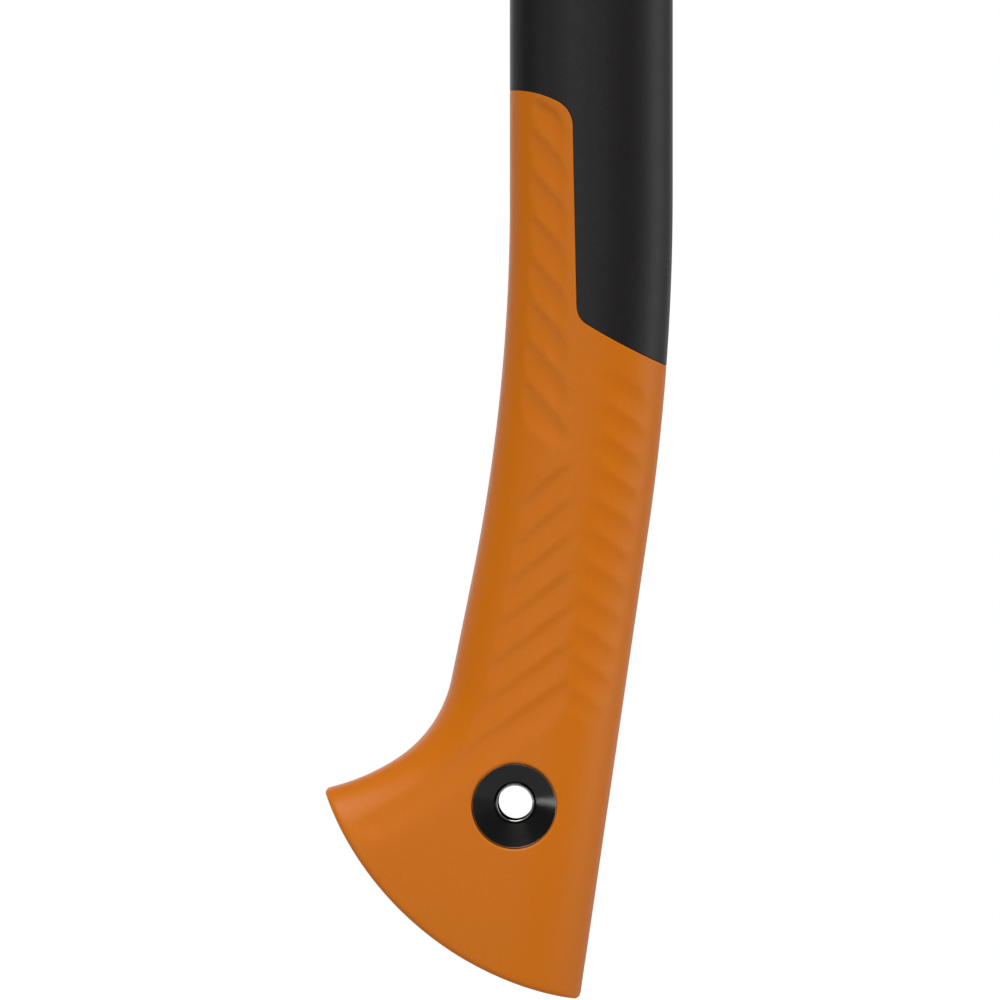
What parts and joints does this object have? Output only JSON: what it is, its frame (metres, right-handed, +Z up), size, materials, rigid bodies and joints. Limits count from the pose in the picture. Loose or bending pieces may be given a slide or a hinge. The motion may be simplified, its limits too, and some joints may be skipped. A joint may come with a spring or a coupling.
{
  "type": "felling axe",
  "caption": "Felling axe with a forged head moulded into a hollow composite handle, a soft hooked grip and a lanyard eyelet.",
  "frame": {"origin": "centre of the lanyard eye in the butt, on the axe's symmetry plane", "axes": "+Z up the handle to the head, -X towards the cutting edge and the hook of the butt, +Y across the thickness; the XZ plane is the symmetry plane"},
  "size_m": [0.172, 0.038, 0.7082],
  "materials": {
    "head_steel": "low-friction dark coating, ground bright on the bevels",
    "composite_black": "matte, fine moulded grain",
    "soft_grip_orange": "matte soft elastomer with fine speckle and shallow moulded ribs",
    "eyelet_black": "glossy black, turned"
  },
  "bodies": {
    "root": {"axe_head": "head_steel", "handle_shaft": "composite_black", "butt_core": "composite_black", "grip_sleeve": "soft_grip_orange", "eyelet_barrel": "eyelet_black", "eyelet_washer_left": "eyelet_black", "eyelet_washer_right": "eyelet_black"}
  },
  "joints": []
}
